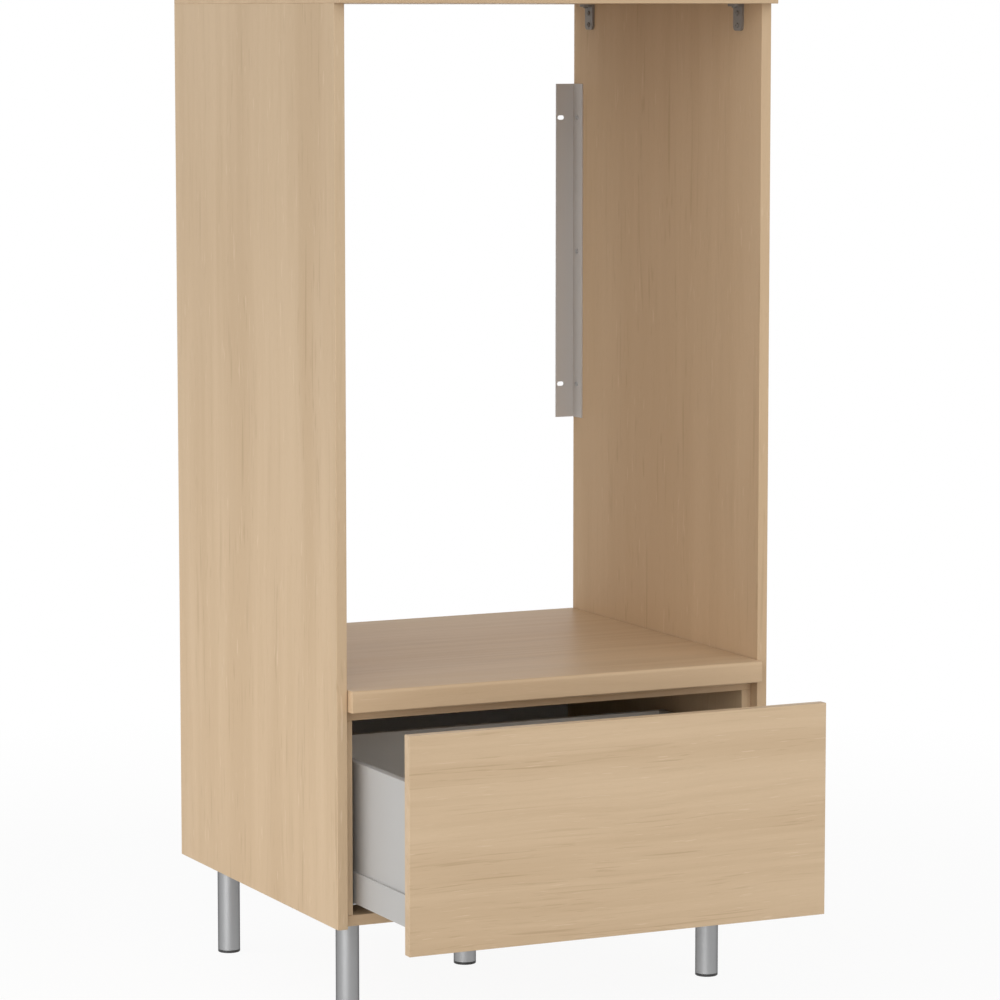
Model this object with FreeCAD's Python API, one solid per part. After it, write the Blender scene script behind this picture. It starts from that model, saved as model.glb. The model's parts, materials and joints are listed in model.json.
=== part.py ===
import FreeCAD, Part
import math
import os

# Washing machine cabinet: a tall open housing in wood-effect board on five round metal legs.
# The machine stands on a thick shelf, which lies on a low carcass with one wide drawer.
# Sizes are in millimetres. +Z is up, the front faces -Y and +X is to the right of someone facing the front.
# The origin is on the floor under the centre leg. The drawer is drawn part open.

Vector = FreeCAD.Vector
RIGHT = Vector(1, 0, 0)
BACKWARD = Vector(0, 1, 0)
UP = Vector(0, 0, 1)
DOWN = Vector(0, 0, -1)

# Side panels and top
CABINET_WIDTH = 702.0
SIDE_DEPTH = 620.0
SIDE_HEIGHT = 1326.0
SIDE_THICKNESS = 16.0
TOP_THICKNESS = 16.0
TOP_OVERHANG = 21.0
EDGE_ROUND = 0.8

# Machine shelf
SHELF_THICKNESS = 32.0
SHELF_OVERHANG = 17.0
SHELF_SIDE_GAP = 1.0
SHELF_NOSE_RADIUS = 5.0
SHELF_UNDER_RADIUS = 2.5

# Drawer carcass
CARCASS_HEIGHT = 317.0
CARCASS_BOARD = 16.0
CARCASS_RECESS = 19.0
BACK_THICKNESS = 8.0
BACK_INSET = 6.0
GROOVE_DEPTH = 6.0
GROOVE_FIT = 0.1

# Legs
LEG_HEIGHT = 147.0
LEG_DIAMETER = 34.5
LEG_WALL = 1.5
LEG_END_THICKNESS = 12.0
LEG_SIDE_INSET = 52.5
LEG_FRONT_INSET = 87.5
LEG_REAR_INSET = 66.5
PLATE_DIAMETER = 64.0
PLATE_THICKNESS = 5.0
SPIGOT_LENGTH = 20.0
SPIGOT_FIT = 0.1
FOOT_HEIGHT = 4.0
FOOT_GAP = 0.3
FOOT_CHAMFER = 0.8
STEM_DIAMETER = 10.0
STEM_LENGTH = 40.0
STEM_FIT = 0.05

# Drawer: how far it is drawn out, its front, and its sheet metal box
DRAWER_OPEN = 211.0
FRONT_THICKNESS = 16.0
FRONT_SIDE_GAP = 2.0
FRONT_TOP_GAP = 2.0
FRONT_BOTTOM_GAP = 2.0
DRAWER_REAR_SPACE = 140.0
DRAWER_HEADROOM = 63.0
DRAWER_SHEET = 1.2
BASE_SIDE_GAP = 5.0
BASE_FLOOR_GAP = 16.0
BASE_HEIGHT = 46.0
BASE_ROUND = 1.0
WALL_SETBACK = 4.5
WALL_THICKNESS = 12.5
WALL_TOP_ROUND = 2.0
LEDGE_DROP = 14.0
LEDGE_WIDTH = 24.0
BOTTOM_THICKNESS = 16.0
BOTTOM_FIT = 0.3
TRAY_DEPTH = 12.0
TRAY_FIT = 0.2
FRONT_BRACKET_END_GAP = 20.0
FRONT_BRACKET_PLATE = 2.0
FRONT_BRACKET_DEPTH = 50.0
TONGUE_END_GAP = 22.0
FRONT_BRACKET_FIT = 0.1

# Telescopic runners
RAIL_SHEET = 1.5
RAIL_GAP = 0.4
RAIL_BASE_GAP = 1.0
RAIL_FLANGE_HEIGHT = 38.0
RAIL_GUIDE_HEIGHT = 18.0
RAIL_GUIDE_CLEARANCE = 2.8
RAIL_CHANNEL_WIDTH = 26.0
RAIL_FRONT_SETBACK = 8.0
MIDDLE_RAIL_HEIGHT = 26.0
MIDDLE_RAIL_SHORTER = 12.0
RAIL_FASTENER_INSET = 60.0

# Wall brackets, at the back of the open bay
WALL_BRACKET_LENGTH = 537.0
WALL_BRACKET_DROP = 126.5
WALL_FLANGE_WIDTH = 32.5
SIDE_FLANGE_WIDTH = 33.0
WALL_BRACKET_SHEET = 2.0
WALL_BRACKET_INNER_BEND = 1.0
SLOT_LENGTH = 12.0
SLOT_WIDTH = 7.0
SLOT_EDGE_MARGIN = 2.2
SLOT_FROM_END = 54.0

# Corner brackets, under the top
CORNER_WIDTH = 26.0
CORNER_HEIGHT = 40.0
CORNER_REACH = 16.0
CORNER_SHEET = 4.0
CORNER_ROUND = 7.0
CORNER_FRONT_INSET = 68.0
CORNER_REAR_INSET = 60.0

# Screws
SCREW_RADIUS = 2.0
SCREW_HEAD_RADIUS = 3.75
SCREW_HEAD_HEIGHT = 2.2
SCREW_FIT = 0.1
SCREW_TIP_GAP = 0.5
RECESS_LENGTH = 4.0
RECESS_WIDTH = 0.9
RECESS_DEPTH = 1.2
SCREW_BEVEL_SHARE = 0.25
SCREW_TIP_SHARE = 0.25
FITTING_SCREW_LENGTH = 13.0
JOINT_SCREW_RADIUS = 3.0
JOINT_SCREW_HEAD_RADIUS = 5.0
JOINT_SCREW_HEAD_HEIGHT = 3.5
JOINT_SCREW_LENGTH = 46.0
LINK_SCREW_BITE = 11.0
LINK_SCREW_BASE_GAP = 15.0
LINK_SCREW_ROOF_GAP = 80.0
SHELF_SCREW_BITE = 20.0
SHELF_SCREW_LEG_GAP = 50.0
CORNER_SCREW_SHARES = (0.35, 0.8)
CORNER_SCREW_REACH_SHARE = 0.6
BACK_SCREW_SHARES = (0.25, 0.75)
BACK_SCREW_LENGTH = 8.0
RIVET_HEAD_HEIGHT = 1.5
RIVET_INSET = 85.0

# A point this near to a plane counts as on it, and an edge that leaves a direction by less runs along it
ON_PLANE = 0.01

# Planes that follow from the sizes above
leg_row = (SIDE_DEPTH - LEG_FRONT_INSET - LEG_REAR_INSET) / 2
leg_column = CABINET_WIDTH / 2 - LEG_SIDE_INSET
front = -leg_row - LEG_FRONT_INSET
rear = leg_row + LEG_REAR_INSET
outer_half = CABINET_WIDTH / 2
bay_half = outer_half - SIDE_THICKNESS
carcass_half = bay_half - CARCASS_BOARD
underside = LEG_HEIGHT
side_top = underside + SIDE_HEIGHT
carcass_front = front + CARCASS_RECESS
carcass_floor = underside + CARCASS_BOARD
carcass_top = underside + CARCASS_HEIGHT
carcass_roof = carcass_top - CARCASS_BOARD
back_face = rear - BACK_INSET - BACK_THICKNESS

# The drawer box, with the drawer closed. Distances across are counted inwards from the carcass side.
drawer_front_back = front + FRONT_THICKNESS
drawer_rear = back_face - DRAWER_REAR_SPACE
base_low = carcass_floor + BASE_FLOOR_GAP
base_top = base_low + BASE_HEIGHT
wall_top = carcass_roof - DRAWER_HEADROOM
wall_outer = BASE_SIDE_GAP + WALL_SETBACK
wall_inner = wall_outer + WALL_THICKNESS
ledge_end = wall_inner + LEDGE_WIDTH
ledge_top = base_top - LEDGE_DROP
ledge_under = ledge_top - DRAWER_SHEET
bottom_top = ledge_top + BOTTOM_THICKNESS
tray_half = carcass_half - wall_inner - TRAY_FIT

# The runner's nested channels
rail_front = carcass_front + RAIL_FRONT_SETBACK
rail_low = base_low - RAIL_BASE_GAP - RAIL_SHEET
guide_outer = BASE_SIDE_GAP + DRAWER_SHEET + RAIL_GUIDE_CLEARANCE
channel_start = guide_outer + RAIL_SHEET
channel_end = channel_start + RAIL_CHANNEL_WIDTH
middle_start = channel_start + RAIL_GAP
middle_end = channel_end - RAIL_GAP
middle_low = rail_low + RAIL_SHEET + RAIL_GAP
drawer_rail_start = middle_start + RAIL_SHEET + RAIL_GAP
drawer_rail_end = middle_end - RAIL_SHEET - RAIL_GAP
drawer_rail_low = middle_low + RAIL_SHEET + RAIL_GAP

LEGS = {
    "front_left": (-leg_column, -leg_row),
    "front_right": (leg_column, -leg_row),
    "rear_left": (-leg_column, leg_row),
    "rear_right": (leg_column, leg_row),
    "centre": (0.0, 0.0),
}

nodes = {}


def block(x0, x1, y0, y1, z0, z1):
    return Part.makeBox(x1 - x0, y1 - y0, z1 - z0, Vector(x0, y0, z0))


def board(x0, x1, y0, y1, z0, z1):
    """A board with the slightly rounded edges that its edge band has."""
    plain = block(x0, x1, y0, y1, z0, z1)
    return plain.makeFillet(EDGE_ROUND, plain.Edges)


def disc(x, y, z0, z1, radius):
    return Part.makeCylinder(radius, z1 - z0, Vector(x, y, z0))


def channel(section, y0, y1):
    """Extrudes a section on the left of the carcass: (distance in from the carcass side, height) points."""
    points = [Vector(-carcass_half + inward, y0, height) for inward, height in section]
    face = Part.Face(Part.makePolygon(points + points[:1]))
    return face.extrude(Vector(0, y1 - y0, 0))


def edges_along(shape, direction, *checks):
    """The straight edges that run along a direction and whose middle passes every check."""
    found = []
    for edge in shape.Edges:
        run = edge.Vertexes[-1].Point - edge.Vertexes[0].Point
        if run.Length > 0 and run.normalize().cross(direction).Length < ON_PLANE:
            if all(check(edge.CenterOfMass) for check in checks):
                found.append(edge)
    return found


def mirrored(shape):
    return shape.mirror(Vector(0, 0, 0), RIGHT)


def add(name, *solids):
    nodes[name] = solids[0] if len(solids) == 1 else Part.makeCompound(list(solids))


def add_pair(pattern, left_shape):
    """The left piece and its mirror image on the right."""
    add(pattern.format("left"), left_shape)
    add(pattern.format("right"), mirrored(left_shape))


class Fasteners:
    """A set of equal screws: where each head sits, and which way the head faces."""

    def __init__(self, length, radius=SCREW_RADIUS, head_radius=SCREW_HEAD_RADIUS,
                 head_height=SCREW_HEAD_HEIGHT, sunk=False):
        self.length = length
        self.radius = radius
        self.head_radius = head_radius
        self.head_height = head_height
        self.sunk = sunk
        self.places = []

    def put(self, seat, outward):
        """The seat is the point on the surface. A sunk head lies below it, flush with the surface."""
        if self.sunk:
            seat = seat - outward * self.head_height
        self.places.append(FreeCAD.Placement(seat, FreeCAD.Rotation(UP, outward)))

    def put_mirrored(self, seat, outward):
        self.put(seat, outward)
        self.put(Vector(-seat.x, seat.y, seat.z), Vector(-outward.x, outward.y, outward.z))

    def placed(self, shape):
        copies = []
        for place in self.places:
            copy = shape.copy()
            copy.Placement = place
            copies.append(copy)
        return copies

    def solids(self):
        head = Part.makeCylinder(self.head_radius, self.head_height)
        head = head.makeChamfer(self.head_height * SCREW_BEVEL_SHARE, [head.Edges[0]])
        tip_length = self.radius
        shank_length = self.length - tip_length
        shank = Part.makeCylinder(self.radius, shank_length, DOWN * shank_length)
        tip = Part.makeCone(self.radius * SCREW_TIP_SHARE, self.radius, tip_length, DOWN * self.length)
        screw = head.fuse([shank, tip]).removeSplitter()
        low = self.head_height - RECESS_DEPTH
        arm, width = RECESS_LENGTH / 2, RECESS_WIDTH / 2
        cross = [block(-arm, arm, -width, width, low, self.head_height),
                 block(-width, width, -arm, arm, low, self.head_height)]
        return self.placed(screw.cut(cross))

    def drill(self, shape):
        depth = self.length + SCREW_TIP_GAP
        hole = Part.makeCylinder(self.radius + SCREW_FIT, depth, Vector(0, 0, -depth))
        if self.sunk:
            hole = hole.fuse(Part.makeCylinder(self.head_radius + SCREW_FIT, self.head_height))
        return shape.cut(self.placed(hole))


# Where the screws go

joint_screws = Fasteners(JOINT_SCREW_LENGTH, JOINT_SCREW_RADIUS, JOINT_SCREW_HEAD_RADIUS,
                         JOINT_SCREW_HEAD_HEIGHT, sunk=True)
for step in (-1, 0, 1):
    across = -carcass_half - CARCASS_BOARD / 2
    joint_screws.put_mirrored(Vector(across, step * leg_row / 2, underside), DOWN)
    joint_screws.put_mirrored(Vector(across, step * leg_row / 2, carcass_top), UP)

link_screws = Fasteners(CARCASS_BOARD + LINK_SCREW_BITE)
for along in (-leg_row, leg_row):
    for height in (base_top + LINK_SCREW_BASE_GAP, carcass_roof - LINK_SCREW_ROOF_GAP):
        link_screws.put_mirrored(Vector(-carcass_half, along, height), RIGHT)

shelf_screws = Fasteners(CARCASS_BOARD + SHELF_SCREW_BITE)
shelf_screw_row = leg_row - SHELF_SCREW_LEG_GAP
for along in (-shelf_screw_row, shelf_screw_row):
    shelf_screws.put_mirrored(Vector(SHELF_SCREW_LEG_GAP - leg_column, along, carcass_roof), DOWN)

runner_length = drawer_rear - drawer_front_back
rail_screws = Fasteners(FITTING_SCREW_LENGTH)
rail_screw_height = rail_low + RAIL_FLANGE_HEIGHT - SCREW_HEAD_RADIUS * 2
for along in (RAIL_FASTENER_INSET, runner_length / 2, runner_length - RAIL_FASTENER_INSET):
    seat = Vector(-carcass_half + RAIL_SHEET, rail_front + along, rail_screw_height)
    rail_screws.put_mirrored(seat, RIGHT)

plate_screws = Fasteners(FITTING_SCREW_LENGTH)
screw_circle = (LEG_DIAMETER + PLATE_DIAMETER) / 4
for leg_x, leg_y in LEGS.values():
    for quarter in range(4):
        angle = math.pi / 4 + quarter * math.pi / 2
        spot = Vector(leg_x + screw_circle * math.cos(angle), leg_y + screw_circle * math.sin(angle),
                      underside - PLATE_THICKNESS)
        plate_screws.put(spot, DOWN)

wall_bracket_top = side_top - WALL_BRACKET_DROP
wall_bracket_low = wall_bracket_top - WALL_BRACKET_LENGTH
slot_heights = (wall_bracket_low + SLOT_FROM_END, wall_bracket_top - SLOT_FROM_END)
wall_bracket_screws = Fasteners(FITTING_SCREW_LENGTH)
for height in (slot_heights[0], sum(slot_heights) / 2, slot_heights[1]):
    seat = Vector(-bay_half + WALL_BRACKET_SHEET, rear - SIDE_FLANGE_WIDTH / 2, height)
    wall_bracket_screws.put_mirrored(seat, RIGHT)

CORNERS = {"front": front + CORNER_FRONT_INSET, "rear": rear - CORNER_REAR_INSET}
corner_screws = Fasteners(FITTING_SCREW_LENGTH)
for middle in CORNERS.values():
    for share in CORNER_SCREW_SHARES:
        seat = Vector(-bay_half + CORNER_SHEET, middle, side_top - CORNER_HEIGHT * share)
        corner_screws.put_mirrored(seat, RIGHT)
    seat = Vector(-bay_half + CORNER_REACH * CORNER_SCREW_REACH_SHARE, middle, side_top - CORNER_SHEET)
    corner_screws.put_mirrored(seat, DOWN)

bracket_low = base_top + FRONT_BRACKET_END_GAP
bracket_high = wall_top - FRONT_BRACKET_END_GAP
front_screws = Fasteners(FITTING_SCREW_LENGTH)
for height in (bracket_low + TONGUE_END_GAP / 2, bracket_high - TONGUE_END_GAP / 2):
    across = -carcass_half + wall_outer + WALL_THICKNESS / 2
    seat = Vector(across, drawer_front_back + FRONT_BRACKET_PLATE, height)
    front_screws.put_mirrored(seat, BACKWARD)

back_screws = Fasteners(BACK_SCREW_LENGTH)
for share in BACK_SCREW_SHARES:
    height = bottom_top + (wall_top - bottom_top) * share
    seat = Vector(-tray_half + DRAWER_SHEET, drawer_rear - TRAY_DEPTH / 2, height)
    back_screws.put_mirrored(seat, RIGHT)

bottom_screws = Fasteners(FITTING_SCREW_LENGTH)
for along in (RAIL_FASTENER_INSET, runner_length / 2, runner_length - RAIL_FASTENER_INSET):
    seat = Vector(-carcass_half + (drawer_rail_end + ledge_end) / 2, drawer_front_back + along, ledge_under)
    bottom_screws.put_mirrored(seat, DOWN)


def side_panel():
    panel = board(-outer_half, -bay_half, front, rear, underside, side_top)
    for screws in (link_screws, wall_bracket_screws, corner_screws):
        panel = screws.drill(panel)
    return panel


def top_panel():
    panel = board(-outer_half, outer_half, front - TOP_OVERHANG, rear, side_top, side_top + TOP_THICKNESS)
    return corner_screws.drill(panel)


def machine_shelf():
    """The long front edges are rounded more than the rest, and the ends a little."""
    half = bay_half - SHELF_SIDE_GAP
    nose = front - SHELF_OVERHANG
    shelf = block(-half, half, nose, rear, carcass_top, carcass_top + SHELF_THICKNESS)
    middle_height = carcass_top + SHELF_THICKNESS / 2
    for radius, at_nose, at_top in ((SHELF_NOSE_RADIUS, True, True), (SHELF_UNDER_RADIUS, True, False),
                                    (EDGE_ROUND, False, True), (EDGE_ROUND, False, False)):
        chosen = edges_along(shelf, RIGHT, lambda p: (p.z > middle_height) == at_top,
                             lambda p: (p.y < nose + SHELF_NOSE_RADIUS) == at_nose,
                             lambda p: p.y - nose < ON_PLANE or rear - p.y < ON_PLANE)
        shelf = shelf.makeFillet(radius, chosen)
    ends = [edge for edge in shelf.Edges if half - abs(edge.CenterOfMass.x) < ON_PLANE]
    return shelf_screws.drill(shelf.makeFillet(EDGE_ROUND, ends))


def back_groove():
    """The room that the back panel takes up in the boards around it, with its fit."""
    return block(-carcass_half - GROOVE_DEPTH, carcass_half + GROOVE_DEPTH,
                 back_face - GROOVE_FIT, back_face + BACK_THICKNESS + GROOVE_FIT,
                 carcass_floor - GROOVE_DEPTH, carcass_roof + GROOVE_DEPTH)


def carcass_back():
    half = carcass_half + GROOVE_DEPTH - GROOVE_FIT
    reach = GROOVE_DEPTH - GROOVE_FIT
    return block(-half, half, back_face, back_face + BACK_THICKNESS,
                 carcass_floor - reach, carcass_roof + reach)


def carcass_bottom():
    panel = board(-bay_half, bay_half, carcass_front, rear, underside, carcass_floor).cut(back_groove())
    return plate_screws.drill(joint_screws.drill(panel))


def carcass_lid():
    panel = board(-bay_half, bay_half, carcass_front, rear, carcass_roof, carcass_top).cut(back_groove())
    return shelf_screws.drill(joint_screws.drill(panel))


def carcass_side():
    panel = board(-bay_half, -carcass_half, carcass_front, rear, carcass_floor, carcass_roof)
    panel = panel.cut(back_groove())
    for screws in (joint_screws, link_screws, rail_screws):
        panel = screws.drill(panel)
    return panel


def leg_plate(x, y):
    face = underside - PLATE_THICKNESS
    plate = disc(x, y, face, underside, PLATE_DIAMETER / 2)
    spigot = disc(x, y, face - SPIGOT_LENGTH, face, LEG_DIAMETER / 2 - LEG_WALL - SPIGOT_FIT)
    return plate_screws.drill(plate.fuse(spigot))


def leg_tube(x, y):
    low = FOOT_HEIGHT + FOOT_GAP
    high = underside - PLATE_THICKNESS
    tube = disc(x, y, low, high, LEG_DIAMETER / 2)
    hollow = disc(x, y, low + LEG_END_THICKNESS, high, LEG_DIAMETER / 2 - LEG_WALL)
    thread = disc(x, y, low, low + LEG_END_THICKNESS, STEM_DIAMETER / 2 + STEM_FIT)
    return tube.cut([hollow, thread])


def levelling_foot(x, y):
    pad = disc(x, y, 0, FOOT_HEIGHT, LEG_DIAMETER / 2)
    rim = [edge for edge in pad.Edges if edge.Closed and edge.CenterOfMass.z < ON_PLANE]
    pad = pad.makeChamfer(FOOT_CHAMFER, rim)
    return pad.fuse(disc(x, y, FOOT_HEIGHT, FOOT_HEIGHT + STEM_LENGTH, STEM_DIAMETER / 2))


def drawer_front():
    half = bay_half - FRONT_SIDE_GAP
    panel = board(-half, half, front, drawer_front_back,
                  underside + FRONT_BOTTOM_GAP, carcass_top - FRONT_TOP_GAP)
    return front_screws.drill(panel)


def drawer_wall():
    """A hollow double wall of folded sheet with a softly rounded top."""
    x0, x1 = -carcass_half + wall_outer, -carcass_half + wall_inner
    wall = block(x0, x1, drawer_front_back, drawer_rear, base_top, wall_top)
    rims = edges_along(wall, BACKWARD, lambda p: p.z > wall_top - ON_PLANE)
    wall = wall.makeFillet(WALL_TOP_ROUND, rims)
    hollow = block(x0 + DRAWER_SHEET, x1 - DRAWER_SHEET, drawer_front_back, drawer_rear,
                   base_top + DRAWER_SHEET, wall_top - DRAWER_SHEET)
    return back_screws.drill(wall.cut(hollow))


def base_profile():
    """The folded profile under a drawer wall: it hides the runner, and its ledge carries the bottom."""
    sheet, outer = DRAWER_SHEET, BASE_SIDE_GAP
    section = [(outer, base_low), (outer, base_top), (wall_inner, base_top), (wall_inner, ledge_top),
               (ledge_end, ledge_top), (ledge_end, ledge_under), (wall_inner - sheet, ledge_under),
               (wall_inner - sheet, base_top - sheet), (outer + sheet, base_top - sheet),
               (outer + sheet, base_low)]
    profile = channel(section, drawer_front_back, drawer_rear)
    rim = edges_along(profile, BACKWARD, lambda p: p.z > base_top - ON_PLANE,
                      lambda p: p.x < -carcass_half + wall_outer)
    return drill_rivets(bottom_screws.drill(profile.makeFillet(BASE_ROUND, rim)))


def front_bracket():
    """Sits in the open front end of a drawer wall and is screwed to the back of the drawer front."""
    x0 = -carcass_half + wall_outer + DRAWER_SHEET + FRONT_BRACKET_FIT
    x1 = -carcass_half + wall_inner - DRAWER_SHEET - FRONT_BRACKET_FIT
    plate_rear = drawer_front_back + FRONT_BRACKET_PLATE
    plate = block(x0, x1, drawer_front_back, plate_rear, bracket_low, bracket_high)
    tongue = block(x0, x1, plate_rear, drawer_front_back + FRONT_BRACKET_DEPTH,
                   bracket_low + TONGUE_END_GAP, bracket_high - TONGUE_END_GAP)
    return front_screws.drill(plate.fuse(tongue).removeSplitter())


def drawer_back():
    """A folded sheet tray that stands on the drawer bottom between the walls, open to the rear."""
    tray_front = drawer_rear - TRAY_DEPTH
    tray = block(-tray_half, tray_half, tray_front, drawer_rear, bottom_top, wall_top)
    inside_half = tray_half - DRAWER_SHEET
    inside = block(-inside_half, inside_half, tray_front + DRAWER_SHEET, drawer_rear,
                   bottom_top + DRAWER_SHEET, wall_top - DRAWER_SHEET)
    return back_screws.drill(tray.cut(inside))


def drawer_bottom():
    half = carcass_half - wall_inner - BOTTOM_FIT
    panel = board(-half, half, drawer_front_back + BOTTOM_FIT, drawer_rear, ledge_top, bottom_top)
    return bottom_screws.drill(panel)


def cabinet_rail():
    sheet, low = RAIL_SHEET, rail_low
    guide, high = rail_low + RAIL_GUIDE_HEIGHT, rail_low + RAIL_FLANGE_HEIGHT
    section = [(0, low), (0, high), (sheet, high), (sheet, low + sheet),
               (guide_outer, low + sheet), (guide_outer, guide), (channel_start, guide),
               (channel_start, low + sheet), (channel_end, low + sheet), (channel_end, guide),
               (channel_end + sheet, guide), (channel_end + sheet, low)]
    return rail_screws.drill(channel(section, rail_front, rail_front + runner_length))


def middle_rail():
    sheet, low, high = RAIL_SHEET, middle_low, middle_low + MIDDLE_RAIL_HEIGHT
    section = [(middle_start, low), (middle_start, high), (middle_start + sheet, high),
               (middle_start + sheet, low + sheet), (middle_end - sheet, low + sheet),
               (middle_end - sheet, high), (middle_end, high), (middle_end, low)]
    return channel(section, rail_front, rail_front + runner_length - MIDDLE_RAIL_SHORTER)


def drawer_rail():
    sheet, low, high = RAIL_SHEET, drawer_rail_low, ledge_under
    start, end = drawer_rail_start, drawer_rail_end
    section = [(start, low), (start, high), (end, high), (end, low), (end - sheet, low),
               (end - sheet, high - sheet), (start + sheet, high - sheet), (start + sheet, low)]
    return drill_rivets(channel(section, rail_front, drawer_rear))


def rivet_places():
    across = -carcass_half + (wall_inner + drawer_rail_end) / 2
    return [(across, drawer_front_back + along)
            for along in (RIVET_INSET, runner_length - RIVET_INSET)]


def drill_rivets(shape):
    radius = SCREW_RADIUS + SCREW_FIT
    holes = [disc(x, y, ledge_under - RAIL_SHEET, ledge_top, radius) for x, y in rivet_places()]
    return shape.cut(holes)


def rivets():
    """Each joins a drawer rail to the ledge above it and is flush with the ledge's top."""
    solids = []
    seat = ledge_under - RAIL_SHEET
    for x, y in rivet_places():
        rivet = disc(x, y, seat - RIVET_HEAD_HEIGHT, seat, SCREW_HEAD_RADIUS)
        rivet = rivet.fuse(disc(x, y, seat, ledge_top, SCREW_RADIUS)).removeSplitter()
        solids += [rivet, mirrored(rivet)]
    return solids


def wall_bracket():
    """A tall angle: one flange lies on the side panel, the other is slotted for bolts into the wall."""
    low, high, sheet = wall_bracket_low, wall_bracket_top, WALL_BRACKET_SHEET
    x0, x1 = -bay_half, -bay_half + WALL_FLANGE_WIDTH
    angle = block(x0, x1, rear - SIDE_FLANGE_WIDTH, rear, low, high)
    angle = angle.cut(block(x0 + sheet, x1, rear - SIDE_FLANGE_WIDTH, rear - sheet, low, high))
    bend = edges_along(angle, UP, lambda p: p.x < x0 + ON_PLANE, lambda p: p.y > rear - ON_PLANE)
    angle = angle.makeFillet(WALL_BRACKET_INNER_BEND + sheet, bend)
    crease = edges_along(angle, UP, lambda p: abs(p.x - x0 - sheet) < ON_PLANE,
                         lambda p: abs(p.y - rear + sheet) < ON_PLANE)
    angle = angle.makeFillet(WALL_BRACKET_INNER_BEND, crease)
    slot_middle = x1 - SLOT_EDGE_MARGIN - SLOT_LENGTH / 2
    straight = (SLOT_LENGTH - SLOT_WIDTH) / 2
    cuts = []
    for height in slot_heights:
        cuts.append(block(slot_middle - straight, slot_middle + straight, rear - sheet, rear,
                          height - SLOT_WIDTH / 2, height + SLOT_WIDTH / 2))
        for end in (-straight, straight):
            centre = Vector(slot_middle + end, rear - sheet, height)
            cuts.append(Part.makeCylinder(SLOT_WIDTH / 2, sheet, centre, BACKWARD))
    return wall_bracket_screws.drill(angle.cut(cuts))


def corner_bracket(middle):
    """A small angle under the top; the leg on the side panel has rounded lower corners."""
    y0, y1 = middle - CORNER_WIDTH / 2, middle + CORNER_WIDTH / 2
    low, x0 = side_top - CORNER_HEIGHT, -bay_half
    upright = block(x0, x0 + CORNER_SHEET, y0, y1, low, side_top)
    tips = edges_along(upright, RIGHT, lambda p: p.z < low + ON_PLANE)
    upright = upright.makeFillet(CORNER_ROUND, tips)
    reach = block(x0, x0 + CORNER_REACH, y0, y1, side_top - CORNER_SHEET, side_top)
    ends = edges_along(reach, UP, lambda p: p.x > x0 + CORNER_REACH - ON_PLANE)
    reach = reach.makeFillet(CORNER_ROUND, ends)
    return corner_screws.drill(upright.fuse(reach).removeSplitter())


def build_cabinet():
    add_pair("{}_side_panel", side_panel())
    add("top_panel", top_panel())
    add("machine_shelf", machine_shelf())
    add("carcass_bottom", carcass_bottom())
    add("carcass_top", carcass_lid())
    add_pair("carcass_{}_side", carcass_side())
    add("carcass_back", carcass_back())
    add_pair("{}_wall_bracket", wall_bracket())
    for place, middle in CORNERS.items():
        add_pair(place + "_{}_corner_bracket", corner_bracket(middle))
    add_pair("{}_cabinet_rail", cabinet_rail())
    add("carcass_joint_screws", *joint_screws.solids())
    add("side_panel_screws", *link_screws.solids())
    add("shelf_screws", *shelf_screws.solids())
    add("runner_screws", *rail_screws.solids())
    add("wall_bracket_screws", *wall_bracket_screws.solids())
    add("corner_bracket_screws", *corner_screws.solids())


def build_legs():
    for place, (x, y) in LEGS.items():
        add(place + "_leg_plate", leg_plate(x, y))
        add(place + "_leg_tube", leg_tube(x, y))
        add(place + "_levelling_foot", levelling_foot(x, y))
    add("leg_plate_screws", *plate_screws.solids())


def build_drawer():
    add("drawer_front", drawer_front())
    add_pair("drawer_{}_wall", drawer_wall())
    add_pair("drawer_{}_base_profile", base_profile())
    add_pair("drawer_{}_front_bracket", front_bracket())
    add("drawer_back", drawer_back())
    add("drawer_bottom", drawer_bottom())
    add_pair("{}_drawer_rail", drawer_rail())
    add("drawer_front_screws", *front_screws.solids())
    add("drawer_back_screws", *back_screws.solids())
    add("drawer_bottom_screws", *bottom_screws.solids())
    add("drawer_rail_rivets", *rivets())


def draw_out(build, distance):
    """Builds pieces in their closed place, then draws them out of the carcass."""
    known = set(nodes)
    build()
    for name in set(nodes) - known:
        nodes[name] = nodes[name].translated(Vector(0, -distance, 0))


build_cabinet()
build_legs()
draw_out(build_drawer, DRAWER_OPEN)
draw_out(lambda: add_pair("{}_middle_rail", middle_rail()), DRAWER_OPEN / 2)

os.makedirs("parts", exist_ok=True)
for name, shape in nodes.items():
    if len(shape.Solids) == 1:
        shape = shape.Solids[0]
    shape.exportStep("parts/" + name + ".step")
print(len(nodes), "nodes,", sum(len(shape.Solids) for shape in nodes.values()), "solids")
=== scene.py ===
import json
import math

import bpy
from mathutils import Euler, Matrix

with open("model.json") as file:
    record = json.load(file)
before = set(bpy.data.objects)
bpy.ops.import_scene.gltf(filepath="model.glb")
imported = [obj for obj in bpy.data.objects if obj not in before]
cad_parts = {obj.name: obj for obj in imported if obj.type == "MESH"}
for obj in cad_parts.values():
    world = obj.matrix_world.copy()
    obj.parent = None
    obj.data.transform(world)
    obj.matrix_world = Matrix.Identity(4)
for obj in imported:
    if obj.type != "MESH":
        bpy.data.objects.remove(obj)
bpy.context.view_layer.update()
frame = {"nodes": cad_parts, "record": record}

cad = frame["nodes"]

# Camera: its place in metres, its heading to the right of straight ahead, and how far it looks down
CAMERA_PLACE = (-2.7067, -5.7994, 1.4577)
CAMERA_HEADING = math.radians(25.507)
CAMERA_PITCH = math.radians(6.573)
CAMERA_LENS_MM = 151.83
CAMERA_SENSOR_MM = 36.0
CAMERA_CLIP_END = 200.0

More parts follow.
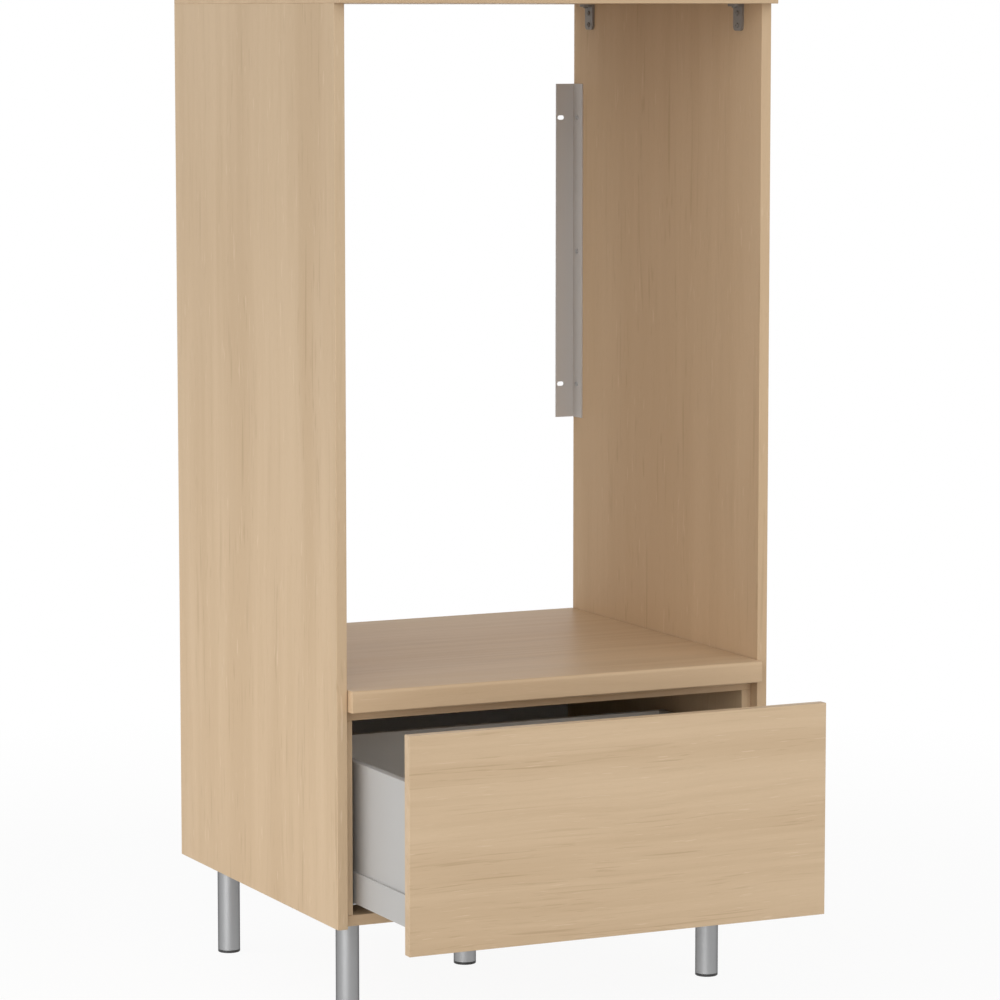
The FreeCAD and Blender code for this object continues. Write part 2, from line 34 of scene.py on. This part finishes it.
# Light: a dim dome and soft lamps. Each lamp has its heading left of the front, its height, its width, all in
# degrees, and its strength
DOME_STRENGTH = 0.35
BACKGROUND_STRENGTH = 1.0
LAMPS = {
    "left_lamp": (90, 23, 80, 0.95),
    "key_lamp": (48, 8, 40, 0.40),
    "front_lamp": (0, 23, 80, 1.25),
    "top_lamp": (0, 89, 80, 0.08),
    "shine_lamp": (48, 8, 40, 1.8),
}

# The one lamp that shows in gloss, and only there
SHINE_LAMP = "shine_lamp"

# A low lamp panel to the left, which faces the object: its middle, depth and height in metres, and its watts
PANEL_PLACE = (-1.45, -0.05, 0.22)
PANEL_DEPTH = 0.9
PANEL_HEIGHT = 0.35
PANEL_POWER = 1.8

# Floor: a disc, mostly plain white to the camera, with the rest left to real light so that the shadow shows
FLOOR_RADIUS = 2.4
FLOOR_FADE_START = 1.2
FLOOR_SIDES = 96
FLOOR_COLOUR = (0.92, 0.92, 0.92)
FLOOR_WHITE_SHARE = 0.93

# Colours, linear
WHITE = (1.0, 1.0, 1.0)
WOOD_LIGHT = (0.665, 0.503, 0.335)
WOOD_DARK = (0.575, 0.420, 0.267)
WOOD_LINE = (0.440, 0.304, 0.182)
WOOD_PALE = (0.745, 0.587, 0.419)
DRAWER_GREY = (0.495, 0.488, 0.476)
DRAWER_BOARD_GREY = (0.74, 0.735, 0.72)
DRAWER_BACK_GREY = (0.76, 0.75, 0.72)
BACK_BOARD_WHITE = (0.80, 0.80, 0.79)
BRACKET_GREY = (0.60, 0.585, 0.57)
FITTING_GREY = (0.235, 0.21, 0.185)
ZINC = (0.60, 0.61, 0.62)
LEG_METAL = (0.36, 0.362, 0.366)
# Black edge tint of the leg tubes: painted shade on their edges, where they turn away
LEG_PAINTED_EDGE_SHADE = (0.0, 0.0, 0.0)
BLACKENED_STEEL = (0.045, 0.045, 0.046)

# Grain of the boards: how fine it is across, how strong its bands and lines are, the face's sheen, and a tint
PLAIN = (1.0, 1.0, 1.0)
# The warm tint is painted light: the warmer bounce light inside the bay, put on the right panel and the lying
# boards
PAINTED_WARM_BOUNCE = (1.0, 0.97, 0.94)
UPRIGHT_GRAIN = {"fineness": 0.33, "strength": 0.7, "sheen": 0.04, "tint": PLAIN}
RIGHT_PANEL_GRAIN = {"fineness": 0.33, "strength": 0.6, "sheen": 0.04, "tint": PAINTED_WARM_BOUNCE}
SHELF_GRAIN = {"fineness": 0.8, "strength": 0.5, "sheen": 0.11, "tint": PAINTED_WARM_BOUNCE}
FRONT_GRAIN = {"fineness": 1.0, "strength": 0.8, "sheen": 0.12, "tint": PLAIN}
FRONT_SEED = 10

# Which of the object's axes stand for the grain's length, width and depth
GRAIN_AXES = {"X": "XYZ", "Z": "ZXY"}

# How far each seed moves the pattern, and how the grain sways: the noise's scale and detail, and the reach
SEED_STEP = (3.7, 1.3, 2.1)
SWAY_SCALE = (1.6, 5, 5)
SWAY_DETAIL = 2
SWAY_REACH = 0.035

# Layers of the grain: marks to the metre along it and across it, a shift that sets them apart, and the detail
GRAIN_LAYERS = {
    "bands": (0.7, 26, 0.0, 2),
    "streaks": (2.2, 120, 0.0, 3),
    "lines": (5, 300, 0.0, 1),
    "flecks": (17, 430, 3.0, 1),
    "pores": (70, 1900, 0.0, 2),
    "glints": (22, 520, 7.0, 1),
}

# Where in a layer's noise its marks start and are full, and how strong they are then
GRAIN_MARKS = {
    "lines": (0.60, 0.78, 0.42),
    "flecks": (0.63, 0.78, 0.36),
    "pores": (0.58, 0.70, 0.13),
    "glints": (0.67, 0.77, 0.55),
}

# The tone is part bands and part streaks, and lines and flecks gather where the bands are dark
BAND_SHARE = 0.7
STREAK_SHARE = 0.3
TONE_SPAN = (0.34, 0.66)
VEIN_SPAN = (0.40, 0.60)
VEIN_GAIN = (1.6, 0.30)
WOOD_ROUGHNESS = (0.46, 0.38)
WOOD_BUMP = (0.16, 0.0003)

# Noise: how rough its finer detail is, its middle value, and the span that most of it lies in
NOISE_ROUGHNESS = 0.5
NOISE_MIDDLE = 0.5
NOISE_SPAN = (0.3, 0.7)

# Even finishes: scale and detail of the fine texture and of the soft clouds, the share of the colour that is
# left in the darker clouds, the bump's strength and depth in metres, and the span of the roughness
DRAWER_COAT = {"texture": (1400, 2), "clouds": (9, 3), "darker": 0.94, "bump": (0.12, 0.0002),
               "roughness": (0.37, 0.47)}
BRACKET_COAT = {"texture": (1400, 2), "clouds": (9, 3), "darker": 0.94, "bump": (0.12, 0.0002),
                "roughness": (0.41, 0.51)}
MELAMINE = {"texture": (650, 4), "clouds": (14, 3), "darker": 0.93, "bump": (0.10, 0.0002),
            "roughness": (0.44, 0.54)}
MOULDING = {"texture": (1100, 3), "clouds": (30, 2), "darker": 0.88, "bump": (0.18, 0.0002),
            "roughness": (0.42, 0.55)}
OXIDE = {"texture": (500, 3), "clouds": (500, 3), "darker": 0.75, "bump": (0.08, 0.0001),
         "roughness": (0.45, 0.60)}

# Zinc-coated steel: cells of the spangle to the metre, the rolled lines along Y, and the rest as above
SPANGLE_SCALE = 160.0
ROLLED_SCALE = (400, 12, 400)
ROLLED_DETAIL = 3
ZINC_DARKER = 0.84
ZINC_BUMP = (0.08, 0.0002)
ZINC_ROUGHNESS = (0.36, 0.48)

# Leg tubes: the fine lines around them, the soft clouds, and the rest as above
TURNED_SCALE = (30, 30, 2600)
TURNED_DETAIL = 3
LEG_CLOUD_SCALE = (40, 40, 12)
LEG_CLOUD_DETAIL = 2
LEG_DARKER = 0.90
LEG_BUMP = (0.05, 0.0001)
LEG_ROUGHNESS = (0.44, 0.52)


class Nodes:
    """A node tree, with short calls that add nodes and set or link their inputs."""

    def __init__(self, tree):
        self.tree = tree

    def put(self, socket, value):
        if isinstance(value, bpy.types.NodeSocket):
            self.tree.links.new(value, socket)
        elif socket.type == "RGBA":
            socket.default_value = (*value, 1.0)
        else:
            socket.default_value = value

    def add(self, kind, inputs, output=0, **settings):
        node = self.tree.nodes.new(kind)
        for key, value in settings.items():
            setattr(node, key, value)
        for key, value in inputs.items():
            self.put(node.inputs[key], value)
        return node.outputs[output]

    def place(self):
        """Coordinates in metres in the object's own frame."""
        return self.add("ShaderNodeTexCoord", {}, output="Object")

    def math(self, operation, first, second):
        return self.add("ShaderNodeMath", {0: first, 1: second}, operation=operation)

    def background_rays(self):
        """1 for rays that show the background, straight or in metal or glass, and 0 for rays of light."""
        path = self.tree.nodes.new("ShaderNodeLightPath").outputs
        straight_or_metal = self.math("MAXIMUM", path["Is Camera Ray"], path["Is Glossy Ray"])
        return self.math("MAXIMUM", straight_or_metal, path["Is Transmission Ray"])


class Surface(Nodes):
    """The node tree of a material with the principled shader, and the patterns that feed it."""

    def __init__(self, name):
        self.material = bpy.data.materials.new(name)
        self.material.use_nodes = True
        super().__init__(self.material.node_tree)
        self.shader = self.tree.nodes["Principled BSDF"]

    def scaled(self, vector, scale, offset=(0.0, 0.0, 0.0)):
        return self.add("ShaderNodeVectorMath", {0: vector, 1: scale, 2: offset}, operation="MULTIPLY_ADD")

    def noise(self, vector, detail):
        inputs = {"Vector": vector, "Scale": 1.0, "Detail": detail, "Roughness": NOISE_ROUGHNESS}
        return self.add("ShaderNodeTexNoise", inputs)

    def remap(self, value, span, to_span):
        inputs = {"Value": value, "From Min": span[0], "From Max": span[1],
                  "To Min": to_span[0], "To Max": to_span[1]}
        return self.add("ShaderNodeMapRange", inputs, interpolation_type="SMOOTHSTEP")

    def shares(self, first, second, first_share=0.5, second_share=0.5):
        """The sum of a share of one value and a share of another, half of each unless told otherwise."""
        return self.math("ADD", self.math("MULTIPLY", first, first_share),
                         self.math("MULTIPLY", second, second_share))

    def mix(self, factor, first, second):
        node = self.tree.nodes.new("ShaderNodeMix")
        node.data_type = "RGBA"
        values = {"Factor_Float": factor, "A_Color": first, "B_Color": second}
        for socket in node.inputs:
            if socket.identifier in values:
                self.put(socket, values[socket.identifier])
        return next(socket for socket in node.outputs if socket.identifier == "Result_Color")

    def bump(self, height, strength, depth):
        inputs = {"Height": height, "Strength": strength, "Distance": depth}
        self.put(self.shader.inputs["Normal"], self.add("ShaderNodeBump", inputs))

    def finish(self, **inputs):
        for key, value in inputs.items():
            self.put(self.shader.inputs[key.replace("_", " ").title().replace("Ior", "IOR")], value)
        return self.material


def times(colour, shares):
    return tuple(part * share for part, share in zip(colour, shares))


def darkened(colour, share):
    return times(colour, (share, share, share))


def grain_place(surface, along, seed):
    """Coordinates whose X runs along the grain, moved by the seed, with a slight sway across the grain."""
    axes = surface.tree.nodes.new("ShaderNodeSeparateXYZ")
    surface.put(axes.inputs[0], surface.place())
    turned = surface.add("ShaderNodeCombineXYZ",
                         {target: axes.outputs[source] for target, source in zip("XYZ", GRAIN_AXES[along])})
    moved = surface.scaled(turned, (1, 1, 1), tuple(seed * step for step in SEED_STEP))
    wander = surface.noise(surface.scaled(moved, SWAY_SCALE), SWAY_DETAIL)
    sway = surface.math("MULTIPLY", surface.math("SUBTRACT", wander, NOISE_MIDDLE), SWAY_REACH)
    aside = surface.add("ShaderNodeCombineXYZ", {"X": 0.0, "Y": sway, "Z": sway})
    return surface.add("ShaderNodeVectorMath", {0: moved, 1: aside}, operation="ADD")


def wood(name, along, seed, fineness, strength, sheen, tint):
    """Pale oak laminate: soft bands along one axis, dark lines and flecks in them, pale glints and pores."""
    surface = Surface(name)
    place = grain_place(surface, along, seed)

    def layer(kind):
        length, width, shift, detail = GRAIN_LAYERS[kind]
        across = width * fineness
        return surface.noise(surface.scaled(place, (length, across, across), (shift,) * 3), detail)

    def marks(kind, gain):
        start, full, share = GRAIN_MARKS[kind]
        return surface.remap(layer(kind), (start, full), (0, share * gain))

    bands = layer("bands")
    streaks = layer("streaks")
    tone = surface.shares(bands, streaks, BAND_SHARE, STREAK_SHARE)
    reach = strength / 2
    tone = surface.remap(tone, TONE_SPAN, (NOISE_MIDDLE - reach, NOISE_MIDDLE + reach))
    # Where the tint is warm, it paints bounce light into the wood's colour
    colour = surface.mix(tone, times(WOOD_DARK, tint), times(WOOD_LIGHT, tint))
    colour = surface.mix(marks("glints", strength), colour, times(WOOD_PALE, tint))
    veins = surface.remap(bands, VEIN_SPAN, VEIN_GAIN)
    lines = surface.math("MAXIMUM", marks("lines", strength), marks("flecks", strength))
    dark = surface.math("MAXIMUM", surface.math("MULTIPLY", lines, veins), marks("pores", 1.0))
    colour = surface.mix(dark, colour, times(WOOD_LINE, tint))
    surface.bump(surface.math("SUBTRACT", streaks, dark), *WOOD_BUMP)
    return surface.finish(base_color=colour, roughness=surface.remap(streaks, NOISE_SPAN, WOOD_ROUGHNESS),
                          specular_ior_level=sheen)


def even(name, colour, texture, clouds, darker, bump, roughness):
    """A coat, faced board, moulding or oxide skin: a fine bumpy texture under clouds of a darker colour."""
    surface = Surface(name)
    place = surface.place()

    def pattern(scale, detail):
        return surface.noise(surface.scaled(place, (scale, scale, scale)), detail)

    fine = pattern(*texture)
    surface.bump(fine, *bump)
    return surface.finish(base_color=surface.mix(pattern(*clouds), darkened(colour, darker), colour),
                          roughness=surface.remap(fine, NOISE_SPAN, roughness))


def galvanised(name, colour):
    """Zinc-coated steel with a faint spangle and rolled lines."""
    surface = Surface(name)
    place = surface.place()
    cells = surface.add("ShaderNodeTexVoronoi", {"Vector": place, "Scale": SPANGLE_SCALE}, output="Color")
    spangle = surface.add("ShaderNodeRGBToBW", {0: cells})
    rolled = surface.noise(surface.scaled(place, ROLLED_SCALE), ROLLED_DETAIL)
    tone = surface.shares(spangle, rolled)
    surface.bump(rolled, *ZINC_BUMP)
    return surface.finish(base_color=surface.mix(tone, darkened(colour, ZINC_DARKER), colour), metallic=1.0,
                          roughness=surface.remap(tone, NOISE_SPAN, ZINC_ROUGHNESS))


def satin_steel(name, colour):
    """Satin tube with very fine lines around it; its black edge tint paints shade where it turns away."""
    surface = Surface(name)
    place = surface.place()
    lines = surface.noise(surface.scaled(place, TURNED_SCALE), TURNED_DETAIL)
    clouds = surface.noise(surface.scaled(place, LEG_CLOUD_SCALE), LEG_CLOUD_DETAIL)
    tone = surface.shares(lines, clouds)
    surface.bump(lines, *LEG_BUMP)
    # The black edge tint is painted shade on the tube's edges
    return surface.finish(base_color=surface.mix(tone, darkened(colour, LEG_DARKER), colour), metallic=1.0,
                          specular_tint=LEG_PAINTED_EDGE_SHADE, specular_ior_level=0.0,
                          roughness=surface.remap(lines, NOISE_SPAN, LEG_ROUGHNESS))


def dress(node, material):
    slots = cad[node].material_slots
    if not slots:
        cad[node].data.materials.append(material)
    for slot in slots:
        slot.material = material


def dress_boards():
    """Upright boards have upright grain; the others have it from side to side."""
    # The right panel and the lying boards take the warm tint, which is painted bounce light
    grains = [("left_side_panel", "Z", UPRIGHT_GRAIN), ("right_side_panel", "Z", RIGHT_PANEL_GRAIN),
              ("carcass_left_side", "Z", UPRIGHT_GRAIN), ("carcass_right_side", "Z", UPRIGHT_GRAIN)]
    for node in ("top_panel", "machine_shelf", "carcass_bottom", "carcass_top"):
        grains.append((node, "X", SHELF_GRAIN))
    for seed, (node, along, grain) in enumerate(grains, start=1):
        dress(node, wood("wood_" + node, along, seed, **grain))
    dress("drawer_front", wood("wood_drawer_front", "X", FRONT_SEED, **FRONT_GRAIN))


def dress_rest():
    """Every node that isn't wood takes the finish of its material slot."""
    finishes = {
        "drawer_grey": even("drawer_coat", DRAWER_GREY, **DRAWER_COAT),
        "drawer_board": even("drawer_board", DRAWER_BOARD_GREY, **MELAMINE),
        "back_board": even("back_board", BACK_BOARD_WHITE, **MELAMINE),
        "zinc_steel": galvanised("galvanised_rail", ZINC),
        "zinc_screw": galvanised("zinc_screw", ZINC),
        "dark_screw": even("dark_screw", FITTING_GREY, **OXIDE),
        "back_grey": even("drawer_back_coat", DRAWER_BACK_GREY, **DRAWER_COAT),
        "bracket_grey": even("bracket_coat", BRACKET_GREY, **BRACKET_COAT),
        "dark_fitting": even("fitting", FITTING_GREY, **MOULDING),
        "leg_metal": satin_steel("leg_steel", LEG_METAL),
        "foot_metal": even("foot_steel", BLACKENED_STEEL, **OXIDE),
    }
    for part in frame["record"]["subparts"]:
        if part["material_slot"] in finishes:
            dress(part["node"], finishes[part["material_slot"]])


def put_in_scene(name, data):
    """A new object in the scene that holds a lamp, mesh or camera."""
    placed = bpy.data.objects.new(name, data)
    bpy.context.scene.collection.objects.link(placed)
    return placed


def dome():
    """A world that is plain white as background and dim as light."""
    world = bpy.data.worlds.new("studio")
    bpy.context.scene.world = world
    world.use_nodes = True
    nodes = Nodes(world.node_tree)
    background = nodes.tree.nodes["Background"]
    nodes.put(background.inputs["Color"], WHITE)
    strength = nodes.add("ShaderNodeMapRange", {"Value": nodes.background_rays(), "To Min": DOME_STRENGTH,
                                                "To Max": BACKGROUND_STRENGTH})
    nodes.put(background.inputs["Strength"], strength)


def lamps():
    for name, (heading, height, width, energy) in LAMPS.items():
        lamp = bpy.data.lights.new(name, "SUN")
        lamp.energy = energy
        lamp.angle = math.radians(width)
        placed = put_in_scene(name, lamp)
        placed.rotation_euler = Euler((math.radians(90 - height), 0, -math.radians(heading)), "XYZ")
        placed.visible_glossy = name == SHINE_LAMP
        placed.visible_diffuse = name != SHINE_LAMP


def low_panel():
    """Soft light from low on the left, which the camera and gloss don't see."""
    panel = bpy.data.lights.new("low_panel", "AREA")
    panel.shape = "RECTANGLE"
    panel.size = PANEL_HEIGHT
    panel.size_y = PANEL_DEPTH
    panel.energy = PANEL_POWER
    placed = put_in_scene("low_panel", panel)
    placed.location = PANEL_PLACE
    placed.rotation_euler = Euler((0, -math.pi / 2, 0), "XYZ")
    placed.visible_camera = False
    placed.visible_glossy = False


def floor_material():
    """Diffuse, with a share of plain white in the background's rays that grows to all of it at the rim."""
    material = bpy.data.materials.new("floor_white")
    material.use_nodes = True
    nodes = Nodes(material.node_tree)
    nodes.tree.nodes.remove(nodes.tree.nodes["Principled BSDF"])
    diffuse = nodes.add("ShaderNodeBsdfDiffuse", {"Color": FLOOR_COLOUR})
    white = nodes.add("ShaderNodeEmission", {"Color": WHITE})
    distance = nodes.add("ShaderNodeVectorMath", {0: nodes.place()}, output="Value", operation="LENGTH")
    fade = nodes.add("ShaderNodeMapRange", {"Value": distance, "From Min": FLOOR_FADE_START,
                                            "From Max": FLOOR_RADIUS, "To Min": FLOOR_WHITE_SHARE})
    share = nodes.math("MULTIPLY", nodes.background_rays(), fade)
    mixed = nodes.add("ShaderNodeMixShader", {0: share, 1: diffuse, 2: white})
    nodes.put(nodes.tree.nodes["Material Output"].inputs["Surface"], mixed)
    return material


def floor():
    corners = []
    for side in range(FLOOR_SIDES):
        angle = 2 * math.pi * side / FLOOR_SIDES
        corners.append((FLOOR_RADIUS * math.cos(angle), FLOOR_RADIUS * math.sin(angle), 0.0))
    mesh = bpy.data.meshes.new("floor")
    mesh.from_pydata(corners, [], [tuple(range(FLOOR_SIDES))])
    mesh.materials.append(floor_material())
    ground = put_in_scene("floor", mesh)


def camera():
    data = bpy.data.cameras.new("camera")
    data.sensor_width = CAMERA_SENSOR_MM
    data.lens = CAMERA_LENS_MM
    data.clip_end = CAMERA_CLIP_END
    placed = put_in_scene("camera", data)
    placed.location = CAMERA_PLACE
    placed.rotation_euler = Euler((math.pi / 2 - CAMERA_PITCH, 0, -CAMERA_HEADING), "XYZ")
    bpy.context.scene.camera = placed


bpy.context.scene.view_settings.view_transform = "Standard"
camera()
dome()
lamps()
low_panel()
floor()
dress_boards()
dress_rest()
